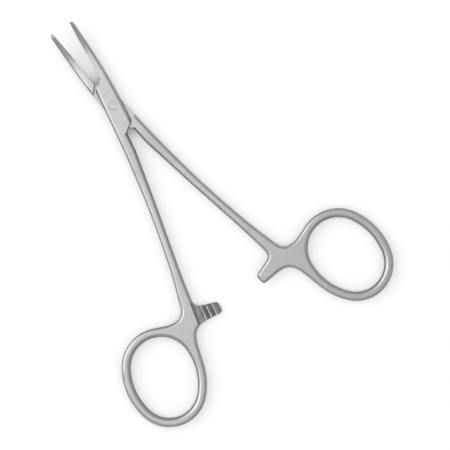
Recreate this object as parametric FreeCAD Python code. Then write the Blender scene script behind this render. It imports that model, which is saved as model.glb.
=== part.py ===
"""Curved mosquito forceps, 125 mm long when closed, with a box lock.

Three pieces: the box half, the half that passes through it, and the pivot pin.
Each half is drawn closed, with the pivot on the Z axis and the tips towards +Y,
then turned about the pivot to the pose in which the instrument lies half open.
Units are millimetres. Z is up and the lock's underside is at Z = 0.
"""

import FreeCAD, Part
import math
import os

V = FreeCAD.Vector
Z_AXIS = V(0, 0, 1)
Y_AXIS = V(0, 1, 0)

# Pose and travel
rest_half_angle = 6.46        # each half is turned this far from closed
full_opening = 60.0           # between the halves, where the hinge range ends
stop_spare = 2.0              # the tongue meets the box wall this many degrees later

# Lock
lock_thickness = 4.2
lock_end_half_width = 2.7     # at the box ends and the jaw root
lock_side_bulge = 0.2         # the box is this much fuller halfway
lock_wall_corner = 3.12       # its inner walls come out at the sides, this far off the middle plane
lock_end_mid = 8.8            # oblique end of the box, measured on the centre line
lock_end_side = 6.5           # and at the side of the box
jaw_root = 9.3                # the jaws start here
slot_height = 1.6
tongue_play = 0.05            # above and below the tongue
wall_play = 0.06              # between the tongue and the walls of the box
end_play = 0.22               # between the box ends and the shoulders

# Pivot pin, riveted and ground flush
pin_diameter = 2.0
pin_head_diameter = 2.5
pin_head_depth = 0.35
bore_play = 0.03              # radial, in the turning half

# Jaws
jaw_tip = 28.5                # reach of the tips in plan
jaw_curve_start = 15.0
jaw_curve_radius = 21.0
jaw_tip_width = 0.95
jaw_tip_height = 1.75
jaw_edge_round = 0.75
jaw_edge_round_high = 0.42    # and at most these shares of the jaw's height and width
jaw_edge_round_wide = 0.75
jaw_nose = 0.45               # length of the rounded nose
jaw_nose_steps = ((0.55, 0.87), (1.0, 0.55))  # shares of its length, and how it shrinks
jaw_side_bulge = 0.17         # the outer side is this much fuller than a straight taper
jaw_sections = 5

# Serrations, and the relieved face behind them
serration_pitch = 0.7
serration_depth = 0.28
serration_crest = 0.08        # how far the crests pass the middle plane
serrated_length = 10.0
relief_front = 0.2
relief_root = 0.35
relief_step = 0.2

# Shanks: share of the way from the pivot to the arm, and both edges off the middle plane
shank_line = ((0.18, 3.60, 0.25),
              (0.28, 4.10, 0.98),
              (0.42, 4.93, 2.17),
              (0.56, 6.08, 3.52),
              (0.70, 7.60, 4.88),
              (0.80, 8.90, 5.86))
lock_side_line = ((1.5, 2.95), (-4.0, 3.16), (-9.0, 3.40))  # outer edge beside the lock
shank_crotch = 0.3            # inner edge of a shank where it leaves the lock
shank_thickness = 3.2
shank_taper_gap = 2.0         # from the crotch to where the lock's thickness starts to fall
shank_taper_length = 15.0
shank_taper_ease = 0.45       # how gently the thickness starts and ends its fall
shank_edge_round = 0.9

# Finger rings: an egg drawn with four arcs, its blunt end towards the shank
ring_centre_reach = 85.4      # from the pivot
ring_centre_angle = 16.9      # off the middle plane
ring_lean = 8.0               # the long axis leans outward at its lower end
ring_hole_long = 25.6
ring_hole_short = 19.9
ring_side_radius = 18.6       # of the hole's two side arcs
ring_widest = 0.6             # the hole is widest this far above its centre
ring_band = 2.75
ring_edge_round = 1.1
ring_leave_top = -10.0        # where the web leaves the ring, as angles from its upper end
ring_leave_side = 265.0

# Ratchet arms
arm_above_ring = 13.4         # from the arm's lower edge to the ring's centre, both seen as
                              # distances behind the pivot
arm_tip_width = 3.5
arm_root_width = 5.0
arm_root_x = 5.1              # where the arm's upper edge ends
arm_tip_past = 0.55           # the tip passes the middle plane
arm_tip_round = 1.05
arm_play = 0.05               # from the crests to the middle of the thickness
web_height = 7.5              # the web starts this far above the arm's lower edge
web_outer_x = 10.43
web_inner_x = 6.55
web_outer_slope = 0.2         # its edges lean outward by this much for each mm
web_inner_slope = 0.09
web_outer_ease = (4.6, 6.1)   # pull of the curve from the web's outer edge to the ring
web_lower_ease = (7.9, 6.8)   # and of the one from the ring to the arm's lower edge
web_upper_ease = (1.0, 1.3)   # and of the one from the arm's upper edge to the shank
arm_low_x = 4.9               # where the arm's lower edge ends
tooth_count = 3
tooth_first = 1.37            # degrees off the middle plane, seen from the pivot
tooth_pitch = 1.45            # degrees
tooth_depth = 0.6
tooth_land = 0.15
tooth_draft = 0.2             # slope of the catching face, over the depth
tip_lead_length = 0.7         # the arm's tip slopes down so that the racks ride onto each other
tip_lead_drop = 0.45
rack_step = 6.4               # degrees, where the rack ends in a step
rack_reach = 6.8              # the rack's upper limit above the arm's lower edge

middle_z = lock_thickness / 2.0
far = 30.0                    # reach of the cutting solids past the metal
past = 0.2                    # small reach of a cutter past the face it starts from
arc_fit = 0.05                # how near the arcs keep to a free curve
lock_slope = (lock_end_mid - lock_end_side) / lock_end_half_width
crotch_reach = lock_end_mid + lock_slope * shank_crotch
lock_half_width = lock_end_half_width + lock_side_bulge
arm_outer = ring_centre_reach - arm_above_ring
rack_top = arm_outer - rack_reach


def line(a, b):
    return Part.LineSegment(a, b).toShape()


def arcs(curve):
    """A free curve as a chain of tangent arcs, which is how an outline is ground."""
    return [arc.toShape() for arc in curve.toBSpline().toBiArcs(arc_fit)]


def blend(start, leave, end, arrive):
    """A cubic curve that leaves and arrives along the two given vectors."""
    curve = Part.BezierCurve()
    curve.setPoles([start, start + leave, end - arrive, end])
    return arcs(curve)


def smooth(points, leave, arrive):
    """A spline through the points with the given end directions."""
    curve = Part.BSplineCurve()
    curve.interpolate(Points=points, InitialTangent=leave, FinalTangent=arrive)
    return arcs(curve)


def rounded_corner(before, corner, after, radius):
    """Where a corner's arc starts and ends, and the arc."""
    arriving = (corner - before).normalize()
    leaving = (after - corner).normalize()
    back = radius * math.tan(arriving.getAngle(leaving) / 2)
    start, end = corner - arriving * back, corner + leaving * back
    inward = (leaving - arriving).normalize()
    middle = corner + inward * (math.hypot(radius, back) - radius)
    return start, end, Part.Arc(start, middle, end).toShape()


def prism(points, z_low, z_high):
    """An upright solid on a polygon of (x, y) points."""
    corners = [V(x, y, z_low) for x, y in points]
    face = Part.Face(Part.makePolygon(corners + corners[:1]))
    return face.extrude(V(0, 0, z_high - z_low))


def turned_half_round(shape):
    """The same shape turned half a turn about the long axis of the instrument."""
    copy = shape.copy()
    copy.rotate(V(0, 0, middle_z), Y_AXIS, 180)
    return copy


def ring_axes():
    """Centre of the ring, its outward direction and the one towards the shank."""
    angle = math.radians(ring_centre_angle)
    lean = math.radians(ring_lean)
    centre = V(-math.sin(angle), -math.cos(angle), 0) * ring_centre_reach
    return centre, V(-math.cos(lean), math.sin(lean), 0), V(math.sin(lean), math.cos(lean), 0)


def ring_parts(band):
    """The four arcs of the egg, grown by the band: centre, radius, first and last angle.

    Angles run from the end at the shank outward and on round the ring.
    """
    centre, outward, along = ring_axes()
    offset = ring_side_radius - ring_hole_short / 2
    above = ring_hole_long / 2 - ring_widest
    below = ring_hole_long / 2 + ring_widest
    blunt = (ring_side_radius ** 2 - above ** 2 - offset ** 2) / (2 * (ring_side_radius - above))
    pointed = (ring_side_radius ** 2 - below ** 2 - offset ** 2) / (2 * (ring_side_radius - below))
    widest = centre + along * ring_widest
    upper = math.degrees(math.atan2(offset, above - blunt))
    lower = math.degrees(math.atan2(offset, pointed - below))
    return (
        (widest + along * (above - blunt), blunt + band, -upper, upper),
        (widest - outward * offset, ring_side_radius + band, upper, lower),
        (widest - along * (below - pointed), pointed + band, lower, 360 - lower),
        (widest + outward * offset, ring_side_radius + band, 360 - lower, 360 - upper),
    )


def ring_place(band, angle):
    """Point on the ring at an angle, and the way round from there."""
    outward, along = ring_axes()[1:]
    turn = math.radians(angle)
    for middle, radius, first, last in ring_parts(band):
        if first <= angle <= last:
            point = middle + (outward * math.sin(turn) + along * math.cos(turn)) * radius
            return point, outward * math.cos(turn) - along * math.sin(turn)


def ring_line(band, start, end):
    """The ring's outline from one angle to another."""
    edges = []
    for _, _, first, last in ring_parts(band):
        first, last = max(first, start), min(last, end)
        if first < last:
            points = [ring_place(band, angle)[0] for angle in (first, (first + last) / 2, last)]
            edges.append(Part.Arc(*points).toShape())
    return edges


def handle_outline():
    """Plan of the box, shank, web, ratchet arm and ring, with the handle on -X."""
    side_front = V(lock_end_half_width, jaw_root, 0)
    side_middle = V(lock_half_width, (jaw_root - lock_end_side) / 2, 0)
    side_rear = V(lock_end_half_width, -lock_end_side, 0)
    jaw_inner_root = V(relief_root, jaw_root, 0)
    jaw_inner_low = V(relief_root, lock_end_mid + lock_slope * relief_root, 0)
    box_corner = V(-lock_end_half_width, lock_end_side, 0)
    crotch = V(-shank_crotch, -crotch_reach, 0)

    low_y = -arm_outer
    web_y = low_y + web_height
    lock_outer = [V(-outer, y, 0) for y, outer in lock_side_line]
    shank_outer = [V(-outer, low_y * share, 0) for share, outer, _ in shank_line]
    shank_inner = [V(-inner, low_y * share, 0) for share, _, inner in shank_line]
    web_outer = V(-web_outer_x, web_y, 0)
    web_outer_way = V(-web_outer_slope, -1, 0).normalize()
    web_inner = V(-web_inner_x, web_y, 0)
    web_inner_way = V(web_inner_slope, 1, 0).normalize()
    ring_start, ring_start_way = ring_place(ring_band, ring_leave_top)
    ring_end, ring_end_way = ring_place(ring_band, ring_leave_side)

    arm_low_root = V(-arm_low_x, low_y, 0)
    arm_low_tip = V(arm_tip_past, low_y, 0)
    arm_top_tip = V(arm_tip_past, low_y + arm_tip_width, 0)
    arm_top_root = V(-arm_root_x, low_y + arm_root_width, 0)
    arm_top_way = (arm_top_root - arm_top_tip).normalize()
    low_start, low_end, low_corner = rounded_corner(arm_low_root, arm_low_tip, arm_top_tip, arm_tip_round)
    top_start, top_end, top_corner = rounded_corner(arm_low_tip, arm_top_tip, arm_top_root, arm_tip_round)

    edges = [
        line(side_front, jaw_inner_root),
        line(jaw_inner_root, jaw_inner_low),
        line(jaw_inner_low, box_corner),
        *smooth([box_corner] + lock_outer + shank_outer + [web_outer], V(-0.06, -1, 0), web_outer_way),
        *blend(web_outer, web_outer_way * web_outer_ease[0], ring_start, ring_start_way * web_outer_ease[1]),
        *ring_line(ring_band, ring_leave_top, ring_leave_side),
        *blend(ring_end, ring_end_way * web_lower_ease[0], arm_low_root, V(web_lower_ease[1], 0, 0)),
        line(arm_low_root, low_start),
        low_corner,
        line(low_end, top_start),
        top_corner,
        line(top_end, arm_top_root),
        *blend(arm_top_root, arm_top_way * web_upper_ease[0], web_inner, web_inner_way * web_upper_ease[1]),
        *smooth([web_inner] + shank_inner[::-1] + [crotch], web_inner_way, Y_AXIS),
        line(crotch, side_rear),
        Part.Arc(side_rear, side_middle, side_front).toShape(),
    ]
    return Part.Wire(edges)


def side_profile():
    """The thickness, seen from the side: full at the lock, thinner along the shanks."""
    shank_low = (lock_thickness - shank_thickness) / 2
    shank_high = lock_thickness - shank_low
    start_y = -(crotch_reach + shank_taper_gap)
    end_y = start_y - shank_taper_length
    front, rear, side = far, -(ring_centre_reach + far), ring_centre_reach
    ease = V(0, -shank_taper_length * shank_taper_ease, 0)

    def at(y, z):
        return V(-side, y, z)

    edges = [
        line(at(front, 0), at(front, lock_thickness)),
        line(at(front, lock_thickness), at(start_y, lock_thickness)),
        *blend(at(start_y, lock_thickness), ease, at(end_y, shank_high), ease),
        line(at(end_y, shank_high), at(rear, shank_high)),
        line(at(rear, shank_high), at(rear, shank_low)),
        line(at(rear, shank_low), at(end_y, shank_low)),
        *blend(at(end_y, shank_low), -ease, at(start_y, 0), -ease),
        line(at(start_y, 0), at(front, 0)),
    ]
    return Part.Face(Part.Wire(edges)).extrude(V(2 * side, 0, 0))


def rounded_edges(plate, wanted):
    """Edges where an upright wall meets the top or the underside, for the wanted walls."""
    found = []
    for face in plate.Faces:
        u0, u1, v0, v1 = face.ParameterRange
        normal = face.normalAt((u0 + u1) / 2, (v0 + v1) / 2)
        if abs(normal.z) > 0.01 or not wanted(face):
            continue
        for edge in face.Edges:
            first, last = edge.Vertexes[0].Point, edge.Vertexes[-1].Point
            upright = abs(first.z - last.z) > 1.0 and (first - last).Length - abs(first.z - last.z) < 0.01
            if not upright:
                found.append(edge)
    return found


def is_ring_hole(face):
    """True for the walls round the finger hole."""
    centre, outward, along = ring_axes()
    place = face.Vertexes[0].Point - centre
    across_share = place.dot(outward) / (ring_hole_short / 2 + ring_band / 2)
    along_share = place.dot(along) / (ring_hole_long / 2 + ring_band / 2)
    return math.hypot(across_share, along_share) < 1


def is_sharp_end(face):
    """True for the oblique ends of the box and the face that the jaw grows from."""
    box = face.BoundBox
    front_end = box.YMin > lock_end_side - past
    rear_end = box.YMax < -lock_end_side + past and box.XMin > -shank_crotch - past
    return front_end or rear_end and box.YMin > -crotch_reach - past


def handle_blank():
    """The box and handle as forged and rounded, before the lock and rack are cut."""
    plate = Part.Face(handle_outline()).extrude(V(0, 0, lock_thickness))
    first_angle = ring_parts(0)[0][2]
    hole = Part.Wire(ring_line(0, first_angle, first_angle + 360))
    plate = plate.cut(Part.Face(hole).extrude(V(0, 0, lock_thickness)))
    plate = plate.common(side_profile()).Solids[0]
    hole_edges = rounded_edges(plate, is_ring_hole)
    plate = plate.makeFillet(ring_edge_round, hole_edges)
    side_edges = rounded_edges(plate, lambda face: not is_ring_hole(face) and not is_sharp_end(face))
    return plate.makeFillet(shank_edge_round, side_edges)


def jaw_section(y, z, slope, width, height, edge_round):
    """One cross-section of a jaw: a flat gripping face and a rounded back."""
    up = V(0, -math.sin(slope), math.cos(slope))
    centre = V(0, y, z)
    inner = -serration_crest
    low, high, outer = -height / 2, height / 2, width
    half = edge_round * math.sqrt(0.5)

    def at(x, rise):
        return centre + V(x, 0, 0) + up * rise

    top_corner = (outer - edge_round, high - edge_round)
    low_corner = (outer - edge_round, low + edge_round)
    edges = [
        line(at(inner, low), at(inner, high)),
        line(at(inner, high), at(top_corner[0], high)),
        Part.Arc(at(top_corner[0], high), at(top_corner[0] + half, top_corner[1] + half),
                 at(outer, top_corner[1])).toShape(),
        line(at(outer, top_corner[1]), at(outer, low_corner[1])),
        Part.Arc(at(outer, low_corner[1]), at(low_corner[0] + half, low_corner[1] - half),
                 at(low_corner[0], low)).toShape(),
        line(at(low_corner[0], low), at(inner, low)),
    ]
    return Part.Wire(edges)


def jaw_path(y):
    """Height and slope of the jaw's middle line at a distance in front of the pivot."""
    if y <= jaw_curve_start:
        return middle_z, 0.0
    slope = math.asin((y - jaw_curve_start) / jaw_curve_radius)
    return middle_z + jaw_curve_radius * (1 - math.cos(slope)), slope


def jaw_size(y):
    """Width and height of the jaw at a distance in front of the pivot."""
    share = (y - jaw_root) / (jaw_tip - jaw_root)
    width = lock_end_half_width + (jaw_tip_width - lock_end_half_width) * share
    width += 4 * jaw_side_bulge * share * (1 - share)
    height = lock_thickness + (jaw_tip_height - lock_thickness) * share
    return width, height


def jaw_blank():
    """The jaw on +X: a tapering D section that curves upward to a rounded nose."""
    body_end = jaw_tip - jaw_nose
    sections = []
    for index in range(jaw_sections):
        y = jaw_root + (body_end - jaw_root) * index / (jaw_sections - 1)
        z, slope = jaw_path(y)
        width, height = jaw_size(y)
        edge_round = min(jaw_edge_round, jaw_edge_round_high * height, jaw_edge_round_wide * width)
        sections.append(jaw_section(y, z, slope, width, height, edge_round))
    jaw = Part.makeLoft(sections, True, False)

    nose_sections = [sections[-1]]
    for share, shrink in jaw_nose_steps:
        y = body_end + jaw_nose * share
        z, slope = jaw_path(y)
        width, height = jaw_size(y)
        width, height = width * shrink, height * shrink
        nose_sections.append(jaw_section(y, z, slope, width, height, jaw_edge_round_high * height))
    jaw = jaw.fuse(Part.makeLoft(nose_sections, True, False))

    serrated_from = jaw_tip - serrated_length
    clear = -lock_end_half_width
    relief = prism(((clear, jaw_root - 1), (relief_root, jaw_root - 1), (relief_root, jaw_root),
                    (relief_front, serrated_from - relief_step), (-serration_crest - past / 10, serrated_from),
                    (clear, serrated_from)), -far, far)
    return jaw.cut(relief)


def serrations(shift):
    """V grooves across the gripping face, square to the curved middle line."""
    grooves = []
    start = math.asin((jaw_tip - serrated_length - jaw_curve_start) / jaw_curve_radius)
    end = math.asin((jaw_tip - jaw_curve_start) / jaw_curve_radius)
    step = serration_pitch / jaw_curve_radius
    above = past / 4
    half_mouth = serration_pitch / 2 * (1 + above / serration_depth)
    count = int((end - start) / step) + 3
    for index in range(-1, count - 1):
        slope = start + (index + shift) * step
        y = jaw_curve_start + jaw_curve_radius * math.sin(slope)
        z = middle_z + jaw_curve_radius * (1 - math.cos(slope))
        along = V(0, math.cos(slope), math.sin(slope))
        up = V(0, -math.sin(slope), math.cos(slope))
        foot = V(-serration_crest, y, z) - up * (lock_thickness / 2)
        mouth = foot - V(above, 0, 0)
        bottom = foot + V(serration_depth, 0, 0)
        corners = [mouth - along * half_mouth, bottom, mouth + along * half_mouth]
        face = Part.Face(Part.makePolygon(corners + corners[:1]))
        grooves.append(face.extrude(up * lock_thickness))
    return grooves


def rack_region(z_low, z_high):
    """All that lies past the rack's step and its upper limit."""
    step = math.tan(math.radians(rack_step))
    low = arm_outer + 3
    plan = ((-rack_top * step, -rack_top), (-low * step, -low), (far, -low), (far, -rack_top))
    return prism(plan, z_low, z_high)


def rack_cutters():
    """What is cut from the lower half's arm: the top half of its thickness, then the teeth."""
    crest = middle_z - arm_play
    cutters = [rack_region(crest, lock_thickness + 1)]
    to_step = math.radians(rack_step) * arm_outer
    run = math.radians(tooth_pitch) * arm_outer - tooth_land
    for index in range(-1, tooth_count):
        angle = math.radians(tooth_first + index * tooth_pitch)
        radial = V(-math.sin(angle), -math.cos(angle), 0)
        left = V(-math.cos(angle), math.sin(angle), 0)
        start = radial * (rack_top - 1)
        last = index == tooth_count - 1
        if last:
            profile = ((0, past), (0, 0), (tooth_draft, -tooth_depth), (to_step, -tooth_depth), (to_step, past))
        else:
            profile = ((0, past), (0, 0), (tooth_draft, -tooth_depth), (run, 0), (run, past))
        corners = [start + left * across + V(0, 0, crest + rise) for across, rise in profile]
        cutter = Part.Face(Part.makePolygon(corners + corners[:1])).extrude(radial * (rack_reach + 5))
        if last:
            cutter = cutter.common(rack_region(crest - tooth_depth - 1, lock_thickness + 1))
        cutters.append(cutter)

    lead_start = V(arm_tip_past - tip_lead_length, -arm_outer - 1, crest)
    slope = V(tip_lead_length, 0, -tip_lead_drop) * 2
    corners = [lead_start, lead_start + slope, lead_start + V(slope.x, 0, past)]
    lead_in = Part.Face(Part.makePolygon(corners + corners[:1]))
    cutters.append(lead_in.extrude(V(0, rack_reach + 1, 0)))
    return cutters


def wall_line(play):
    """Foot and direction of the box's inner wall in plan, set back by the play.

    Where the wall meets the side of the box sets how far the instrument opens.
    """
    half_stop = math.radians((full_opening + stop_spare) / 2)
    corner = V(lock_wall_corner, lock_wall_corner * math.tan(half_stop), 0)
    way = V(relief_root, lock_end_mid, 0) - corner
    way.normalize()
    inward = V(-way.y, way.x, 0)
    return corner + inward * play, way


def slot_region():
    """Plan of the slot: everything between the two inner walls of the box."""
    foot, way = wall_line(0)
    top = foot + way * (lock_end_mid + 3)
    low = foot - way * 2.5
    right = [(top.x, top.y), (low.x, low.y), (low.x, -lock_end_mid - 5)]
    return right + [(-x, -y) for x, y in right]


def lock_slot():
    """The slot through the box, open at both sides."""
    low = middle_z - slot_height / 2
    return prism(slot_region(), low, low + slot_height)


def tongue_cutters():
    """What is cut from the passing half: both cheeks, and the places of the box walls."""
    tongue_low = middle_z - slot_height / 2 + tongue_play
    tongue_high = lock_thickness - tongue_low
    side = lock_half_width + 3
    end_side_y = lock_end_mid + end_play - lock_slope * side
    end_mid_x = 1.5
    end_mid_y = lock_end_mid + end_play + lock_slope * end_mid_x
    ends = [(-side, end_side_y), (end_mid_x, end_mid_y), (side, end_mid_y)]
    cheek = ends + [(-x, -y) for x, y in ends]
    cutters = [prism(cheek, -1, tongue_low), prism(cheek, tongue_high, lock_thickness + 1)]

    foot, way = wall_line(wall_play)
    low = foot - way * 1.5
    top = foot + way * (foot.x / -way.x)
    wall = [(top.x, top.y), (low.x, low.y), (side + 2, low.y), (side + 2, top.y)]
    for polygon in (wall, [(-x, -y) for x, y in wall]):
        cutters.append(prism(polygon, -1, lock_thickness + 1))
    return cutters


def pin_profile(radius, head_radius, depth, overshoot):
    """Half section of the pin or of the hole that it fills."""
    top = lock_thickness
    points = [V(0, 0, -overshoot), V(head_radius, 0, -overshoot), V(head_radius, 0, 0), V(radius, 0, depth),
              V(radius, 0, top - depth), V(head_radius, 0, top), V(head_radius, 0, top + overshoot),
              V(0, 0, top + overshoot)]
    kept = [points[0]]
    for point in points[1:]:
        if (point - kept[-1]).Length > 1e-6:
            kept.append(point)
    face = Part.Face(Part.makePolygon(kept + kept[:1]))
    return face.revolve(V(0, 0, 0), Z_AXIS, 360)


def pivot_pin():
    return pin_profile(pin_diameter / 2, pin_head_diameter / 2, pin_head_depth, 0)


def mirrored(shape):
    return shape.mirror(V(0, 0, 0), V(1, 0, 0))


def female_half():
    """The half whose box the other one passes through."""
    handle = handle_blank()
    for cutter in rack_cutters():
        handle = handle.cut(cutter)
    jaw = jaw_blank().cut(serrations(0.0))
    half = handle.fuse(jaw)
    half = half.cut(lock_slot())
    half = half.cut(pin_profile(pin_diameter / 2, pin_head_diameter / 2, pin_head_depth, 0.5))
    half = half.removeSplitter()
    half.rotate(V(0, 0, 0), Z_AXIS, -rest_half_angle)
    return half


def male_half():
    """The half with the tongue. Its rack faces down onto the other half's rack."""
    handle = handle_blank()
    for cutter in rack_cutters():
        handle = handle.cut(cutter)
    handle = turned_half_round(handle)
    jaw = mirrored(jaw_blank().cut(serrations(0.5)))
    half = handle.fuse(jaw)
    for cutter in tongue_cutters():
        half = half.cut(cutter)
    bore = Part.makeCylinder(pin_diameter / 2 + bore_play, lock_thickness + 2, V(0, 0, -1))
    half = half.cut(bore).removeSplitter()
    half.rotate(V(0, 0, 0), Z_AXIS, rest_half_angle)
    return half


def main():
    os.makedirs("parts", exist_ok=True)
    nodes = {"female_half": female_half(), "male_half": male_half(), "pivot_pin": pivot_pin()}
    for name, shape in nodes.items():
        box = shape.BoundBox
        print(name, "solids", len(shape.Solids), "valid", shape.isValid(), "volume", round(shape.Volume, 2),
              "box", [round(v, 2) for v in (box.XMin, box.YMin, box.ZMin, box.XMax, box.YMax, box.ZMax)])
        shape.exportStep("parts/" + name + ".step")


if __name__ == "__main__":
    main()
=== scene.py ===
import math

import bpy
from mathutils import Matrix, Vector

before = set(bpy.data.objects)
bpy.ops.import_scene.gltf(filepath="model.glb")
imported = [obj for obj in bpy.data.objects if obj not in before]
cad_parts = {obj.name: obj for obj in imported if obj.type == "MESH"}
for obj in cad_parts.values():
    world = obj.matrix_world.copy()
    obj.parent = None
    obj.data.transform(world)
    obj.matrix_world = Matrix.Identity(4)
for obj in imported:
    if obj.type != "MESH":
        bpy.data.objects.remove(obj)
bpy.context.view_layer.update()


# Box half, the lower left handle in the picture. Hot-forged martensitic stainless steel:
# the slot for the other half is milled through the lock, the jaw and rack are cut, and
# the outside is belt-ground, then bead-blasted to an even satin.
def finish_node(tree, kind, inputs, **settings):
    """One node of a finish, with its settings and its sockets filled or linked."""
    node = tree.nodes.new(kind)
    for setting, value in settings.items():
        setattr(node, setting, value)
    for socket, value in inputs.items():
        if isinstance(value, bpy.types.NodeSocket):
            tree.links.new(value, node.inputs[socket])
        else:
            node.inputs[socket].default_value = value
    return node


def clouds(tree, place, grain, detail):
    """Soft random variation whose patches are as wide as the grain, in metres."""
    sockets = {"Vector": place, "Scale": 1 / grain, "Detail": detail}
    return finish_node(tree, "ShaderNodeTexNoise", sockets).outputs["Fac"]


def spread(tree, value, low, high, low_out, high_out):
    """Maps a value from one range to another and holds it at the ends."""
    sockets = {"Value": value, "From Min": low, "From Max": high, "To Min": low_out, "To Max": high_out}
    return finish_node(tree, "ShaderNodeMapRange", sockets).outputs["Result"]


def arithmetic(tree, operation, first, second=0.0):
    """Works out one value from two, or from the first alone where the operation needs no more."""
    node = finish_node(tree, "ShaderNodeMath", {0: first, 1: second}, operation=operation)
    return node.outputs[0]


def times(tree, first, second):
    return arithmetic(tree, "MULTIPLY", first, second)


def between(tree, value, low, high, soft):
    """One where the value lies between two limits, fading to nothing past them."""
    above = spread(tree, value, low - soft, low + soft, 0.0, 1.0)
    below = spread(tree, value, high - soft, high + soft, 1.0, 0.0)
    return times(tree, above, below)


def mixed(tree, share, first, second):
    """Blends two colours where the second is given as one, and two numbers otherwise."""
    colour = isinstance(second, tuple)
    first_socket, second_socket, result = (6, 7, 2) if colour else (2, 3, 0)
    sockets = {"Factor": share, first_socket: first, second_socket: second}
    node = finish_node(tree, "ShaderNodeMix", sockets, data_type="RGBA" if colour else "FLOAT")
    return node.outputs[result]


def bumped(tree, height, depth, strength, under):
    """Adds relief of that depth, in metres, to the relief under it."""
    sockets = {"Height": height, "Distance": depth, "Strength": strength, "Normal": under}
    return finish_node(tree, "ShaderNodeBump", sockets).outputs["Normal"]


def stretched(tree, place, share):
    """The same place with the long axis drawn in to that share, which draws patterns out along it."""
    return finish_node(tree, "ShaderNodeMapping", {"Vector": place, "Scale": (1, share, 1)}).outputs["Vector"]


def uprightness(tree, direction):
    """Nothing for a level direction, and one for straight up or straight down."""
    rise = finish_node(tree, "ShaderNodeSeparateXYZ", {"Vector": direction}).outputs["Z"]
    return arithmetic(tree, "ABSOLUTE", rise)


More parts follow.
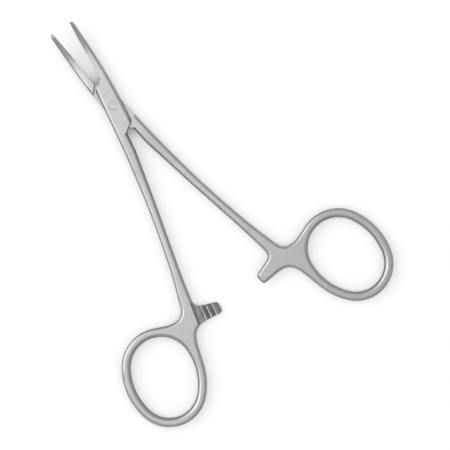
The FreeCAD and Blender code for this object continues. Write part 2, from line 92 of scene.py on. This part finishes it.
def satin_steel(name, turn, handle_side, rack_crest):
    """Satin stainless steel of one half, which lies at that angle to the long axis.

    The handle is on that side of the middle line, and the ratchet's crests are at that height.
    """
    steel = bpy.data.materials.new(name)
    steel.use_nodes = True
    tree = steel.node_tree
    tree.nodes.clear()
    place = finish_node(tree, "ShaderNodeTexCoord", {}).outputs["Object"]
    turning = {"Vector": place, "Rotation": (0, 0, -turn)}
    along = finish_node(tree, "ShaderNodeMapping", turning).outputs["Vector"]
    spot = finish_node(tree, "ShaderNodeSeparateXYZ", {"Vector": along}).outputs
    out, back, height = times(tree, spot["X"], handle_side), spot["Y"], spot["Z"]

    # Grain of the blasting, long streaks of the belt, unevenness of grinding by hand, and
    # patches where hands and washing have dulled the steel.
    blasted = clouds(tree, place, 0.00012, 4.0)
    streaks = clouds(tree, stretched(tree, along, 0.06), 0.00016, 3.0)
    hand_ground = clouds(tree, place, 0.0045, 1.0)
    handled = clouds(tree, place, 0.0016, 5.0)

    # Rounded edges, and how far each place is from flat: edges are worn bright.
    edge_radius = 0.0002
    facing = finish_node(tree, "ShaderNodeNewGeometry", {}).outputs["True Normal"]
    soft_edge = finish_node(tree, "ShaderNodeBevel", {"Radius": edge_radius}, samples=8).outputs["Normal"]
    turned = finish_node(tree, "ShaderNodeVectorMath", {0: facing, 1: soft_edge}, operation="DOT_PRODUCT")
    worn = spread(tree, turned.outputs["Value"], 0.80, 0.96, 1.0, 0.0)
    worn = times(tree, worn, spread(tree, handled, 0.35, 0.6, 0.25, 1.0))

    # The milled rack: past its step, which leans, and below the top of the arm, with a line along each crest painted
    # near white: partly polish where the two racks have ridden over each other, partly a painted highlight.
    step_lean = 0.112
    arm_back, arm_front = -0.0735, -0.0651
    rack_floor, rack_top = 0.00125, 0.00295
    upward = spread(tree, uprightness(tree, facing), 0.3, 0.5, 0.0, 1.0)
    from_step = arithmetic(tree, "ADD", out, times(tree, back, step_lean))
    milled = between(tree, from_step, -0.02, 0.00004, 0.00003)
    milled = times(tree, milled, between(tree, back, arm_back, arm_front, 0.00003))
    milled = times(tree, milled, between(tree, height, rack_floor, rack_top, 0.0001))
    milled = times(tree, milled, upward)
    from_crest = arithmetic(tree, "ABSOLUTE", arithmetic(tree, "SUBTRACT", height, rack_crest))
    # Painted highlight, with some real polish, along the ratchet crests.
    crest_polish_and_highlight = times(tree, milled, spread(tree, from_crest, 0.00005, 0.00013, 1.0, 0.0))
    crest_polish_and_highlight = times(tree, crest_polish_and_highlight, spread(tree, out, 0.0012, 0.0014, 0.0, 1.0))
    cutter_marks = clouds(tree, stretched(tree, along, 0.12), 0.00022, 3.0)

    relief = bumped(tree, hand_ground, 0.00006, 0.35, soft_edge)
    relief = bumped(tree, streaks, 0.000006, 0.25, relief)
    relief = bumped(tree, blasted, 0.000008, 0.35, relief)
    relief = bumped(tree, times(tree, cutter_marks, milled), 0.00003, 0.5, relief)

    # Steep sides are painted darker than the flats: painted shade, for the dark outlines of the sides. Corners and
    # joints are painted dark by how sheltered they are: painted shade, along with polishing paste and oxide left in
    # them.
    painted_side_shade = spread(tree, uprightness(tree, soft_edge), 0.5, 0.9, 0.95, 0.0)
    shelter = finish_node(tree, "ShaderNodeAmbientOcclusion", {"Distance": 0.0006}, samples=8).outputs["AO"]
    residue_and_painted_shade = spread(tree, shelter, 0.35, 0.85, 0.85, 0.0)
    patchy = spread(tree, handled, 0.3, 0.7, 0.0, 1.0)
    # The milled recess of the rack is darker: partly its machined finish, partly painted shade in the recess.
    milled_finish_and_shade = times(tree, milled, spread(tree, cutter_marks, 0.35, 0.65, 0.45, 1.0))
    milled_finish_and_shade = times(tree, milled_finish_and_shade, spread(tree, out, 0.0015, 0.0018, 0.45, 1.0))

    # Colour from the ground faces to the crests, each laid over the last, with painted shade on the recess, sides
    # and corners and a painted highlight on the crests.
    tone = mixed(tree, patchy, (0.57, 0.57, 0.567, 1), (0.62, 0.62, 0.617, 1))
    tone = mixed(tree, milled_finish_and_shade, tone, (0.20, 0.195, 0.187, 1))
    # Painted shade: the steep sides darker than the flats.
    tone = mixed(tree, painted_side_shade, tone, (0.22, 0.217, 0.211, 1))
    # Painted shade in the corners and joints, with some polishing-paste residue in them.
    tone = mixed(tree, residue_and_painted_shade, tone, (0.06, 0.058, 0.055, 1))
    tone = mixed(tree, times(tree, worn, 0.9), tone, (0.90, 0.90, 0.90, 1))
    tone = mixed(tree, crest_polish_and_highlight, tone, (1.0, 1.0, 0.99, 1))
    dulling = times(tree, patchy, 0.03)
    gloss = arithmetic(tree, "ADD", spread(tree, blasted, 0.3, 0.7, 0.27, 0.33), dulling)
    gloss = mixed(tree, worn, gloss, 0.26)
    gloss = mixed(tree, crest_polish_and_highlight, gloss, 0.22)

    # The tint holds back the white of steel seen at a low angle, since the picture's edges are dark.
    sockets = {"Base Color": tone, "Roughness": gloss, "Normal": relief,
               "Metallic": 1.0, "Specular Tint": (0.3, 0.3, 0.3, 1)}
    shader = finish_node(tree, "ShaderNodeBsdfPrincipled", sockets)
    output = tree.nodes.new("ShaderNodeOutputMaterial")
    tree.links.new(shader.outputs["BSDF"], output.inputs["Surface"])
    return steel


box_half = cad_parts["female_half"]
box_half.data.materials.clear()
box_half.data.materials.append(satin_steel("satin_box_half", math.radians(-6.46), -1, 0.00205))


# Tongue half, which passes through the box. The same forging, with a tongue milled to
# slide in the slot. It can't be parted from the box half: the box was spread hot, the
# tongue passed through, and the box closed on it.
tongue_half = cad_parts["male_half"]
tongue_half.data.materials.clear()
tongue_half.data.materials.append(satin_steel("satin_tongue_half", math.radians(6.46), 1, 0.00215))


# Pivot pin, a stainless rivet in countersunk holes through the box. Its heads are
# hammered full and ground flush, so that only a faint round joint shows.
pivot_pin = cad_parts["pivot_pin"]
pivot_pin.data.materials.clear()
pivot_pin.data.materials.append(satin_steel("ground_pin", math.radians(-6.46), -1, 0.00205))


# Table of white laminate, curved up at its far rim so that no edge shows behind the
# instrument.
def table_top():
    """A round top: flat rings about a middle point, then a quarter bend up at the rim."""
    flat_radius, bend_radius, bend_steps, around = 2.2, 0.45, 8, 64
    profile = [(0.3, 0.0), (1.0, 0.0), (flat_radius, 0.0)]
    for step in range(1, bend_steps + 1):
        angle = math.radians(90 * step / bend_steps)
        profile.append((flat_radius + bend_radius * math.sin(angle), bend_radius * (1 - math.cos(angle))))
    points, faces = [(0.0, 0.0, 0.0)], []
    for radius, height in profile:
        for turn in range(around):
            angle = 2 * math.pi * turn / around
            points.append((radius * math.cos(angle), radius * math.sin(angle), height))
    for turn in range(around):
        faces.append((0, 1 + turn, 1 + (turn + 1) % around))
    for ring in range(len(profile) - 1):
        first = 1 + ring * around
        for turn in range(around):
            beside = (turn + 1) % around
            faces.append((first + turn, first + around + turn, first + around + beside, first + beside))
    mesh = bpy.data.meshes.new("table_top")
    mesh.from_pydata(points, [], faces)
    mesh.shade_smooth()
    table = bpy.data.objects.new("table_top", mesh)
    bpy.context.scene.collection.objects.link(table)
    return table


def white_laminate():
    """Matt white, which glows up to white for the camera and in reflections.

    The glow fades in the narrow gaps of the instrument: a painted shadow, dimmed as the light is there.
    """
    laminate = bpy.data.materials.new("white_laminate")
    laminate.use_nodes = True
    tree = laminate.node_tree
    tree.nodes.clear()
    path = finish_node(tree, "ShaderNodeLightPath", {})
    seen = arithmetic(tree, "MAXIMUM", path.outputs["Is Camera Ray"], path.outputs["Is Glossy Ray"])
    seen = arithmetic(tree, "MAXIMUM", seen, path.outputs["Is Transmission Ray"])
    gap_reach, full_glow = 0.004, 0.38
    openness = finish_node(tree, "ShaderNodeAmbientOcclusion", {"Distance": gap_reach}, samples=16)
    # Painted shadow: the glow is dimmed where the table is sheltered by the instrument.
    open_above = spread(tree, openness.outputs["AO"], 0.15, 0.55, 0.1, 1.0)
    strength = times(tree, times(tree, seen, open_above), full_glow)
    glow = finish_node(tree, "ShaderNodeEmission", {"Strength": strength})
    matt = finish_node(tree, "ShaderNodeBsdfDiffuse", {"Color": (0.72, 0.72, 0.72, 1)})
    both = finish_node(tree, "ShaderNodeAddShader", {0: glow.outputs[0], 1: matt.outputs[0]})
    output = tree.nodes.new("ShaderNodeOutputMaterial")
    tree.links.new(both.outputs[0], output.inputs["Surface"])
    return laminate


table = table_top()
table.data.materials.append(white_laminate())


# Lights: a softbox nearly overhead, a brighter one high to the upper left of the picture, a
# wide ceiling light kept out of reflections, and pale room walls. A low grey card beyond the
# lower edge of the picture darkens the near edges.
def softbox(name, place, size, glow):
    """A square lamp that faces the lock, with its brightness as light per area."""
    lamp = bpy.data.lights.new(name, "AREA")
    lamp.shape = "SQUARE"
    lamp.size = size
    lamp.energy = glow * math.pi * size * size
    box = bpy.data.objects.new(name, lamp)
    box.location = place
    box.rotation_mode = "QUATERNION"
    box.rotation_quaternion = (Vector(place) - Vector((0, -0.04, 0))).to_track_quat("Z", "Y")
    bpy.context.scene.collection.objects.link(box)
    return box


softbox("overhead_softbox", (-0.15, 0.11, 1.03), size=0.56, glow=0.7)
softbox("key_softbox", (-0.46, 0.46, 0.72), size=0.85, glow=1.35)
ceiling = softbox("ceiling_light", (0.3, -0.36, 1.2), size=1.2, glow=0.9)
ceiling.visible_glossy = False

room = bpy.data.worlds.new("pale_room")
bpy.context.scene.world = room
room.use_nodes = True
walls = room.node_tree.nodes["Background"]
walls.inputs["Color"].default_value = (1, 1, 1, 1)
walls.inputs["Strength"].default_value = 0.5

card_foot, card_head, card_side = (-0.55, 0.0), (-0.58, 0.2), 0.26
card_corners = [(-card_side, *card_foot), (card_side, *card_foot), (card_side, *card_head), (-card_side, *card_head)]
card_mesh = bpy.data.meshes.new("grey_card")
card_mesh.from_pydata(card_corners, [], [(0, 1, 2, 3)])
card = bpy.data.objects.new("grey_card", card_mesh)
bpy.context.scene.collection.objects.link(card)
grey = bpy.data.materials.new("grey_card")
grey.use_nodes = True
grey.node_tree.nodes["Principled BSDF"].inputs["Base Color"].default_value = (0.18, 0.18, 0.18, 1)
card_mesh.materials.append(grey)
card.visible_camera = False
card.visible_diffuse = False
card.visible_shadow = False


# Camera straight above the instrument, with a long lens. The instrument's long axis
# runs from the lower right to the upper left of the picture.
camera_height = 0.7
picture_width = 0.1389
picture_centre = Vector((0.00793, -0.04972, 0.0037))
picture_up = Vector((0.5599, 0.8285, 0.0))
lens = bpy.data.cameras.new("camera")
lens.sensor_width = 36.0
lens.lens = lens.sensor_width * camera_height / picture_width
lens.clip_start = 0.01
camera = bpy.data.objects.new("camera", lens)
camera.location = picture_centre + Vector((0, 0, camera_height))
camera.rotation_euler = (0, 0, -math.atan2(picture_up.x, picture_up.y))
bpy.context.scene.collection.objects.link(camera)
bpy.context.scene.camera = camera
bpy.context.scene.view_settings.view_transform = "Standard"
